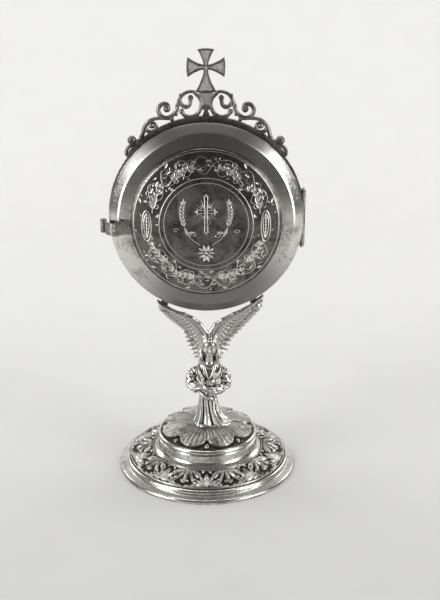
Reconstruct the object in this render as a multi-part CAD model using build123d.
"""Small silver monstrance: a chased round base, an angel with raised wings as the stem, a flat
round case with a hinged cover and hasp, and an openwork cresting with a cross.

Millimetres. +Z is up, the cover faces -Y, and the origin is on the table under the base's centre.
"Left" and "right" are the viewer's, looking along +Y: left is -X.
"""
from build123d import *
import os
from math import atan2, cos, radians, sin

os.makedirs("parts", exist_ok=True)

# ---- base: radii and heights of the turned profile ----
FLANGE_R = 52.4
FLANGE_Z = 2.0
BEAD_R = 46.6
BEAD_Z = 5.8
BAND_TOP_R = 32.1
BAND_TOP_Z = 10.3
STEP_R = 29.1
STEP_TOP_Z = 20.5
DOME_R = 27.4
DOME_TOP_Z = 25.8
SHEET = 1.4                    # thickness of the base's spun shells
STUD_R = 2.0
STUD_FIT = 0.05                # radial room of the stud in its holes

# ---- angel ----
WAIST_Z = 47.0
SHOULDER_Z = 61.5
HEAD_C = (1.3, -0.8, 75.2)
HEAD_AXES = (5.6, 5.8, 7.1)
WING_Y = 2.2                   # front face of the wings
WING_T = 2.4
WING_TIPS = ((-25.6, 95.9), (28.6, 96.6))   # (x, z) of the screws that hold the case's cradle
TIP_SCREW_R = 0.75
PAD_W = 4.2                    # pads of the cradle behind the wing tips
PAD_T = 2.4

# ---- round case and cover, about an axis along Y ----
CASE_Z = 149.25
CASE_R = 55.0                  # back flange
WALL_R = 51.5
WALL_T = 1.6
FLANGE_Y = 8.4
BACK_Y = 10.4
LID_BACK_Y = 1.0
WALL_FRONT_Y = 1.3
LID_SPLIT_R = 41.6             # where the chased disc ends and the bezel begins
LUNETTE_R = 40.0
LUNETTE_OPEN_R = 36.0
LUNETTE_Y = 2.0                # plane where its two rings meet
SEAT_Y = 5.6

# ---- hinge of the cover, at the right ----
HINGE_X = 53.6
HINGE_Y = 4.6
HINGE_R = 1.5
HINGE_H = 31.5
HINGE_COUNT = 5
PIN_R = 0.6
PIN_HEAD_R = 1.0
PIN_FIT = 0.05

# ---- hasp, at the left ----
HASP_X = -50.0
HASP_Y = -6.3
HASP_R = 1.1
HASP_PIN_R = 0.45
HASP_Z = 145.0
HASP_H = 7.0
LEAF_Z = 146.4
LEAF_H = 7.8

# ---- cresting and cross ----
CREST_Y = 7.4
CREST_T = 1.8
SCROLL_W = 1.5
CROSS_Z = 231.3
CROSS_TOP = 241.0
CROSS_SPAN = 10.4              # from the middle to the end of a side arm
CROSS_FOOT = 218.2
CROSS_Y = 7.2
CROSS_T = 2.2
TIE_W = 4.3


def save(shape, node):
    """Write one sub-part under its own name."""
    export_step(Compound(children=list(shape.solids())), f"parts/{node}.step")


def turned(points):
    """Turn (radius, height) points about the vertical axis."""
    return revolve(make_face(Plane.XZ * Polyline(*points, close=True)), Axis.Z)


def turned_case(points):
    """Turn (radius, y) points about the case's axis, which lies along Y."""
    return Pos(0, 0, CASE_Z) * revolve(make_face(Polyline(*points, close=True)), Axis.Y)


def plate(outline, y, thickness):
    """A flat plate from (x, z) points, its front at y."""
    face = make_face(Plane.XZ * Polyline(*outline, close=True))
    return Pos(0, y, 0) * extrude(face, thickness, dir=(0, 1, 0))


def upright(x, y, z, radius, height):
    """A vertical cylinder standing on z."""
    return Pos(x, y, z + height / 2) * Cylinder(radius, height)


def along_y(x, z, radius, y0, y1):
    """A cylinder along Y from y0 to y1."""
    return Pos(x, (y0 + y1) / 2, z) * Rot(90, 0, 0) * Cylinder(radius, y1 - y0)


def case_sector(r0, r1, y0, y1, start, end):
    """A piece of ring about the case's axis, angles in degrees from +X towards +Z."""
    ring = along_y(0, CASE_Z, r1, y0, y1) - along_y(0, CASE_Z, r0, y0 - 1, y1 + 1)
    far = 4 * r1
    steps = 8
    turn = [radians(start + (end - start) * i / steps) for i in range(steps + 1)]
    fan = [(0, CASE_Z)] + [(far * cos(a), CASE_Z + far * sin(a)) for a in turn]
    return ring & plate(fan, y0 - 1, y1 - y0 + 2)


def oval_loft(rows):
    """A body through level ovals, each (z, centre x, centre y, half width, half depth)."""
    faces = [Pos(x, y, z) * Ellipse(a, b) for z, x, y, a, b in rows]
    return loft(Sketch() + faces)


def limb(start, end, r0, r1):
    """A tapered, round-ended limb between two points."""
    a = Vector(*start)
    b = Vector(*end)
    axis = b - a
    cone = Plane(a, z_dir=axis) * Pos(0, 0, axis.length / 2) * Cone(r0, r1, axis.length)
    return cone + Pos(a) * Sphere(r0) + Pos(b) * Sphere(r1)


# ------------------------------------------------------------------ base
def base():
    """Five turned shells, soldered one on the next, and the screw that holds the angel."""
    flange = turned([
        (46.0, 0), (FLANGE_R, 0), (FLANGE_R, 1.2), (51.7, FLANGE_Z), (47.9, 3.0),
        (48.1, 3.7), (48.0, 4.6), (47.5, 5.4), (BEAD_R, BEAD_Z), (BEAD_R, 4.4),
        (45.2, 4.4), (45.2, 1.0),
    ])
    band = turned([
        (BEAD_R, 4.4), (BEAD_R, BEAD_Z), (BAND_TOP_R, BAND_TOP_Z), (27.6, BAND_TOP_Z),
        (27.6, BAND_TOP_Z - SHEET), (BAND_TOP_R, BAND_TOP_Z - SHEET), (45.2, 4.4),
    ])
    step = turned([
        (26.0, BAND_TOP_Z), (BAND_TOP_R, BAND_TOP_Z), (31.0, 11.3), (30.0, 12.2), (29.3, 13.2),
        (STEP_R, 17.2), (28.6, 17.5), (29.2, 18.3), (29.2, 19.3), (28.7, 20.1),
        (28.0, STEP_TOP_Z), (27.6, 20.3), (27.6, 18.4), (26.0, 18.4),
    ])
    dome = turned([
        (STUD_R + 0.15, DOME_TOP_Z), (STUD_R + 0.15, 22.4), (9, 22.4), (17, 21.2), (24, 19.2),
        (24.6, 18.4), (DOME_R, 18.4), (DOME_R, 20.7), (24.5, 22.4), (20, 23.9), (13, 25.2),
        (7, DOME_TOP_Z),
    ])
    save(flange, "base_flange")
    save(band, "base_relief_band")
    save(step, "base_step")
    save(dome, "base_dome")
    save(upright(0, 0, 15.5, STUD_R, 27.0), "base_stud")
    hole = upright(0, 0, 10, STUD_R + STUD_FIT, 20)
    save(upright(0, 0, 21.2, 7.0, 1.2) - hole, "base_washer")
    save(extrude(Pos(0, 0, 17.4) * RegularPolygon(4.6, 6), 3.8) - hole, "base_nut")
    return dome


# ----------------------------------------------------------------- angel
def wing_outline(side):
    """Wing of one side: root behind the head, leading edge up to the tip, feathers below."""
    if side < 0:
        return [
            (0.9, 63), (0.9, 83.5), (-4, 87.2), (-8.6, 91.0), (-12.8, 93.4), (-18.2, 94.9),
            (-24, 97.2), (-28.9, 100.6), (-27.4, 95.6), (-21.6, 89.6), (-14.4, 83.6),
            (-12.4, 78.5), (-11, 72.5), (-7, 64),
        ]
    return [
        (1.1, 63), (1.1, 83.5), (4.4, 86.3), (8.4, 89.2), (15.6, 93.2), (24.2, 97.6),
        (32.6, 103.9), (32.2, 97.0), (27.0, 90.6), (19.6, 82.0), (14.2, 76.4), (12.0, 69),
        (8, 64),
    ]


def angel(dome):
    """Robe, torso, head, crossed arms and the two wings, cast apart and pinned together."""
    bore = upright(0, 0, 10, STUD_R + STUD_FIT, 33.0)
    robe = oval_loft([
        (23.4, 1.8, -0.2, 10.2, 9.6), (27, 1.6, -0.2, 9.0, 8.4), (33, 1.0, 0, 7.6, 6.6),
        (40, 0.2, 0, 6.2, 5.2), (WAIST_Z, -0.4, 0, 5.2, 4.4),
    ]) - dome - bore
    torso = oval_loft([
        (WAIST_Z, -0.4, 0, 5.2, 4.4), (52, 0, 0, 6.6, 4.9), (57, 0.4, 0, 8.2, 5.0),
        (SHOULDER_Z, 0.6, 0, 9.2, 4.2), (64.2, 0.8, 0, 5.6, 3.4), (66, 1.0, -0.2, 2.8, 2.6),
        (70, 1.2, -0.4, 2.5, 2.5),
    ])
    head = Pos(*HEAD_C) * scale(Sphere(1), HEAD_AXES) - torso
    arm_left = limb((-8.2, 0, 60.3), (-9.6, -2.6, 53.6), 3.0, 3.1)
    arm_left += limb((-9.6, -2.6, 53.6), (3.4, -6.6, 57.6), 2.9, 1.6)
    arm_right = limb((9.4, 0, 60.3), (11.0, -2.6, 53.2), 3.0, 3.1)
    arm_right += limb((11.0, -2.6, 53.2), (-2.4, -7.0, 55.0), 2.9, 1.6)
    arm_left -= torso + robe
    arm_right -= torso + robe + arm_left
    body = torso + robe + head + arm_left + arm_right
    screws = Part()
    wings = ((-1, "angel_wing_left", -2.6), (1, "angel_wing_right", 4.6))
    for (side, node, x), tip in zip(wings, WING_TIPS):
        z = 66.5
        shank = along_y(x, z, 0.8, WING_Y + 0.3, WING_Y + WING_T)
        head_of_screw = along_y(x, z, 1.5, WING_Y + WING_T, WING_Y + WING_T + 0.9)
        screws += shank + head_of_screw
        tip_hole = along_y(*tip, TIP_SCREW_R, WING_Y + 1.2, WING_Y + WING_T)
        save(plate(wing_outline(side), WING_Y, WING_T) - body - shank - tip_hole, node)
    save(screws - body, "wing_screws")
    save(robe, "angel_robe")
    save(torso, "angel_torso")
    save(head, "angel_head")
    save(arm_left, "angel_arm_left")
    save(arm_right, "angel_arm_right")


def cradle():
    """Curved bracket hidden between the cover and the back flange, screwed to the wing tips."""
    back = WING_Y + WING_T
    bracket = case_sector(WALL_R + 0.05, 54.4, back, FLANGE_Y - 0.05, -126, -48)
    screws = Part()
    for x, z in WING_TIPS:
        out = atan2(z - CASE_Z, x)
        foot = (53.2 * cos(out), CASE_Z + 53.2 * sin(out))
        pad = Pos(0, back, 0) * extrude(
            Plane.XZ * SlotCenterPoint(((x + foot[0]) / 2, (z + foot[1]) / 2), (x, z), PAD_W),
            PAD_T, dir=(0, 1, 0))
        shank = along_y(x, z, TIP_SCREW_R, WING_Y + 1.2, back + PAD_T)
        bracket = bracket + (pad - along_y(0, CASE_Z, WALL_R + 0.05, 0, 12))
        bracket -= shank
        screws += shank + along_y(x, z, 1.5, back + PAD_T, back + PAD_T + 0.8)
    save(bracket, "case_cradle")
    save(screws, "cradle_screws")


# ------------------------------------------------------------ round case
def hinge_heights(lid):
    """Foot and height of each knuckle of the case or of the cover."""
    pitch = HINGE_H / HINGE_COUNT
    foot = CASE_Z - HINGE_H / 2
    return [(foot + i * pitch + 0.1, pitch - 0.2) for i in range(HINGE_COUNT) if (i % 2 == 1) == lid]


def case_body():
    """Wall with its back flange, dished back, hinge half and the catch for the hasp."""
    inner = WALL_R - WALL_T
    wall = turned_case([
        (inner, WALL_FRONT_Y), (WALL_R, WALL_FRONT_Y), (WALL_R, FLANGE_Y), (CASE_R - 0.4, FLANGE_Y),
        (CASE_R, FLANGE_Y + 0.5), (CASE_R, BACK_Y - 0.5), (CASE_R - 0.5, BACK_Y), (inner, BACK_Y),
    ])
    back = turned_case([
        (0, 13.4), (20, 12.9), (38, 11.8), (50, BACK_Y), (53, BACK_Y), (53, BACK_Y + 0.8),
        (50.4, BACK_Y + 1.2), (38, 13.1), (20, 14.2), (0, 14.7),
    ])
    hinge = Part()
    for z, height in hinge_heights(lid=False):
        block = Pos(HINGE_X - 1.4, HINGE_Y + 0.4, z + height / 2) * Box(2.8, 1.6, height)
        hinge += upright(HINGE_X, HINGE_Y, z, HINGE_R, height) + block
    hinge -= along_y(0, CASE_Z, WALL_R + 0.02, 0, 12)
    hinge -= upright(HINGE_X, HINGE_Y, CASE_Z - HINGE_H, PIN_R + PIN_FIT, 2 * HINGE_H)
    nib = Pos(-53.2, 4.2, HASP_Z) * Rot(0, 90, 0) * Cylinder(1.2, 3.2)
    nib -= along_y(0, CASE_Z, WALL_R + 0.02, 0, 12)
    foot = CASE_Z - HINGE_H / 2
    pin = upright(HINGE_X, HINGE_Y, foot - 0.5, PIN_R, HINGE_H + 1.0)
    for end in (foot - 1.1, foot + HINGE_H + 0.1):
        pin += upright(HINGE_X, HINGE_Y, end, PIN_HEAD_R, 1.0)
    save(wall, "case_band")
    save(back, "case_back")
    save(hinge, "case_hinge")
    save(nib, "catch_nib")
    save(pin, "lid_hinge_pin")


def lunette():
    """Glazed holder for the host, on a ring shelf inside the case."""
    seat = turned_case([
        (LUNETTE_OPEN_R + 1, SEAT_Y), (WALL_R - WALL_T, SEAT_Y), (WALL_R - WALL_T, SEAT_Y + 1.4),
        (LUNETTE_OPEN_R + 1, SEAT_Y + 1.4),
    ])
    half = 3.6                  # depth of each ring
    groove = 1.4                # radial depth of the rebate for the glass
    lip = 1.0                   # what holds the glass at the open side
    glass_t = 1.3
    for sign, name in ((-1, "front"), (1, "back")):
        rim = LUNETTE_Y + sign * half
        ledge = rim - sign * lip
        ring = turned_case([
            (LUNETTE_R, LUNETTE_Y), (LUNETTE_R, rim), (LUNETTE_OPEN_R, rim), (LUNETTE_OPEN_R, ledge),
            (LUNETTE_R - groove, ledge), (LUNETTE_R - groove, LUNETTE_Y),
        ])
        y0, y1 = sorted((ledge, ledge - sign * glass_t))
        save(ring, f"lunette_{name}_ring")
        save(along_y(0, CASE_Z, LUNETTE_R - groove - 0.15, y0, y1), f"lunette_{name}_glass")
    foot = case_sector(LUNETTE_R + 0.1, LUNETTE_R + 1.3, -2.8, SEAT_Y, -108, -72)
    foot += case_sector(LUNETTE_R - 1.6, LUNETTE_R + 1.3, -2.8, -1.8, -108, -72)
    pivot = CASE_Z + 43.5
    button = along_y(0, pivot, 1.9, -2.5, -1.8)
    button += Pos(0, -2.15, pivot - 2.6) * Box(2.6, 0.7, 5.2)
    button -= along_y(0, pivot, 0.75, -4, 0)
    rivet = along_y(0, pivot, 1.2, -1.75, SEAT_Y) + along_y(0, pivot, 0.7, -2.6, -1.75)
    rivet += along_y(0, pivot, 1.2, -3.1, -2.55)
    save(seat, "lunette_seat")
    save(foot, "lunette_foot")
    save(button, "lunette_button")
    save(rivet, "button_rivet")


# ----------------------------------------------------------------- cover
def cover():
    """Chased disc and polished bezel, with the moving half of the hinge."""
    panel = turned_case([
        (0, -11.1), (23.2, -11.1), (25.8, -10.9), (33, -9.7), (39.4, -8.0), (41.0, -7.2),
        (LID_SPLIT_R, -5.75), (LID_SPLIT_R, -4.5), (40.6, -4.5), (39.9, -6.2), (38.8, -6.9),
        (32.8, -8.5), (25.6, -9.7), (0, -9.9),
    ])
    bezel = turned_case([
        (LID_SPLIT_R, -5.75), (48.2, -4.5), (49.0, -4.0), (53.6, -0.2), (53.8, 0.2),
        (53.8, LID_BACK_Y), (51.9, LID_BACK_Y), (51.7, 0.3), (48.2, -2.9), (LID_SPLIT_R, -4.5),
    ])
    knuckles = Part()
    for z, height in hinge_heights(lid=True):
        leaf = Pos(HINGE_X - 0.9, (LID_BACK_Y + HINGE_Y) / 2, z + height / 2)
        knuckles += upright(HINGE_X, HINGE_Y, z, HINGE_R, height)
        knuckles += leaf * Box(1.2, HINGE_Y - LID_BACK_Y, height)
    knuckles -= upright(HINGE_X, HINGE_Y, CASE_Z - HINGE_H, PIN_R + PIN_FIT, 2 * HINGE_H)
    save(panel, "lid_panel")
    save(bezel, "lid_bezel")
    save(knuckles, "lid_hinge_knuckles")
    return panel + bezel


def hasp(lid):
    """Leaf on the bezel, and a strap that bends round the edge to a rolled thumb lip."""
    third = HASP_H / 3
    foot = HASP_Z - HASP_H / 2
    hole = upright(HASP_X, HASP_Y, foot - 5, HASP_PIN_R + PIN_FIT, HASP_H + 10)
    leaf = Pos(-45.3, -6.2, LEAF_Z) * Rot(0, 0, 11) * Box(8.0, 0.9, LEAF_H)
    inside = turned_case([(30, 4), (30, -7), (LID_SPLIT_R, -5.2), (48.2, -4), (52, 4)])
    leaf -= lid + inside
    leaf -= upright(HASP_X, HASP_Y, foot - 2, HASP_R + 0.25, HASP_H + 6)
    for z in (foot, foot + 2 * third):
        arm = Pos(HASP_X + 0.8, HASP_Y + 0.15, z + third / 2) * Box(1.6, 0.9, third - 0.2)
        leaf += upright(HASP_X, HASP_Y, z + 0.1, HASP_R, third - 0.2) + arm
    leaf -= hole
    path = Polyline((HASP_X, HASP_Y), (-53.2, -4.6), (-55.7, -1.4), (-56.0, 3.0))
    strap = extrude(Pos(0, 0, foot) * trace(path, 0.8), HASP_H)
    strap -= upright(HASP_X, HASP_Y, foot - 2, HASP_R + 0.25, HASP_H + 6)
    strap += Pos(HASP_X - 0.9, HASP_Y + 0.5, HASP_Z) * Rot(0, 0, 152) * Box(1.8, 0.8, third - 0.3)
    strap += upright(HASP_X, HASP_Y, foot + third + 0.15, HASP_R, third - 0.3)
    strap += upright(-57.6, 3.6, foot - 0.4, 1.7, HASP_H + 0.8)
    strap -= hole
    pin = upright(HASP_X, HASP_Y, foot - 0.4, HASP_PIN_R, HASP_H + 0.8)
    save(leaf, "hasp_leaf")
    save(strap, "hasp_strap")
    save(pin, "hasp_pin")


# -------------------------------------------------------------- cresting
def scroll_strip(points, width=SCROLL_W):
    """A flat strip that follows a smooth curve through (x, z) points."""
    centre = Spline(*[(x, z, 0) for x, z in points])
    return Plane.XZ * extrude(trace(centre, width), CREST_T)


def cresting():
    """Openwork scrolls on the back flange, one side drawn and the other mirrored."""
    big = [(6.1, 218.4), (9.2, 218.4), (12.3, 217.0), (14.3, 214.4), (15.2, 211.2), (16.3, 208.0),
           (18.7, 205.4), (21.6, 204.3), (24.4, 205.3), (25.9, 208.0), (25.2, 210.6), (22.8, 212.0),
           (20.8, 211.2), (20.8, 209.6)]
    inner = [(14.2, 214.2), (13.0, 211.3), (10.8, 210.2), (9.0, 211.3), (8.4, 213.3), (8.2, 215.2)]
    loop = [(6.1, 217.6), (3.6, 215.2), (2.5, 212.2), (3.2, 209.0), (5.0, 206.2), (8.3, 204.9),
            (11.6, 205.6), (13.3, 208.0)]
    third = [(20.3, 204.0), (24.9, 204.2), (28.9, 203.6), (32.0, 201.6), (33.8, 198.8), (34.6, 195.6),
             (35.8, 192.8), (38.4, 191.0)]
    eye = [(33.4, 200.0), (32.2, 197.4), (29.6, 196.6), (27.4, 198.2), (27.6, 200.8), (29.8, 201.6)]
    low = [(38.0, 189.9), (41.2, 189.2), (43.6, 187.0), (43.8, 184.4), (42.2, 183.2)]
    drum = along_y(0, CASE_Z, CASE_R + 0.02, CREST_Y - 2, CREST_Y + 5)
    drum -= along_y(0, CASE_Z, CASE_R + 0.02, CREST_Y - 2, FLANGE_Y + 0.02)
    rail = case_sector(WALL_R + 0.6, CASE_R + 1.3, CREST_Y - CREST_T, FLANGE_Y - 0.02, 40.5, 139.5)
    save(rail, "crest_rail")
    right = Part()
    for curve in (big, inner, loop, third, eye, low):
        right += scroll_strip(curve)
    right += plate([(18.0, 203.0), (19.8, 203.0), (19.6, 205.6), (18.2, 205.6)], -CREST_T, CREST_T)
    for x, z, radius in ((20.9, 209.4, 1.5), (29.9, 200.2, 1.4), (8.2, 215.4, 1.1), (13.4, 208.2, 1.2)):
        right += Pos(x, -CREST_T / 2, z) * Sphere(radius)
    right = Pos(0, FLANGE_Y, 0) * right - rail - drum
    ball = Pos(40.6, FLANGE_Y - CREST_T / 2, 192.1) * Sphere(2.5)
    for node, flip in (("right", False), ("left", True)):
        one = right - ball
        end = ball
        if flip:
            one = mirror(one, Plane.YZ)
            end = mirror(end, Plane.YZ)
        save(one, f"crest_scroll_{node}")
        save(end, f"crest_ball_{node}")
    return right, rail


def cross_arm(length, half_end, half_waist, bulge):
    """Outline of one flared arm pointing up, as (x, z) points from its left foot to its right."""
    rows = 6
    left = [(-(half_waist + (half_end - half_waist) * (i / rows) ** 1.5), length * i / rows)
            for i in range(1, rows + 1)]
    end = [(half_end * (2 * i / rows - 1), length + bulge * (1 - (2 * i / rows - 1) ** 2))
           for i in range(1, rows)]
    right = [(-x, z) for x, z in reversed(left)]
    return left + end + right


def cross_face(inset):
    """Face of the cross pattee, drawn in by inset at the ends and along the flared sides."""
    side = CROSS_SPAN - 0.5
    arms = ((90, CROSS_TOP - CROSS_Z - 0.4, 4.6), (180, side, 5.3), (0, side, 5.3),
            (270, CROSS_Z - CROSS_FOOT, 5.9))
    waist = 1.2 - 0.6 * inset
    face = Rectangle(2.1 * waist, 2.1 * waist)
    for turn, length, half_end in arms:
        outline = cross_arm(length - inset, half_end - 1.5 * inset, waist, 0.5)
        face += Rot(0, 0, turn - 90) * make_face(Polyline((0, 0), *outline, close=True))
    return face


def cross(scrolls, rail):
    """Cross pattee with a raised border, on a tapered plate, a tie block and a strut."""
    border = 0.85
    outer = extrude(Plane.XZ * cross_face(0), CROSS_T)
    field = extrude(Plane.XZ * cross_face(border), CROSS_T - 0.5)
    place = Pos(0, CROSS_Y + CROSS_T, CROSS_Z)
    frame = place * outer
    inlay = place * (Pos(0, -0.25, 0) * field)
    frame -= inlay
    frame -= place * (Pos(0, -CROSS_T + 0.3, 0) * extrude(Plane.XZ * cross_face(border), 0.4))
    frame -= place * (Pos(0, 0.1, 0) * extrude(Plane.XZ * cross_face(border), 0.4))
    plinth = plate([(-4.1, 217.6), (4.1, 217.6), (1.5, 211.1), (-1.5, 211.1)], CREST_Y - 0.2, 1.4) - frame
    tie = Pos(0, FLANGE_Y - 0.8, 210.0) * Box(TIE_W, 3.0, 2.2) - plinth
    outline = [(-0.8, 209.2), (0.8, 209.2), (1.9, 205.8), (0.7, 204.6), (-0.7, 204.6), (-1.9, 205.8)]
    strut = plate(outline, CREST_Y - 0.2, 1.4) - tie - rail
    both = scrolls + mirror(scrolls, Plane.YZ)
    save(frame - both, "cross_frame")
    save(inlay, "cross_inlay")
    save(plinth - both, "cross_plinth")
    save(tie - both, "cross_tie")
    save(strut - both, "cross_strut")


dome_shell = base()
angel(dome_shell)
cradle()
case_body()
lunette()
hasp(cover())
crest_right, crest_rail = cresting()
cross(crest_right, crest_rail)
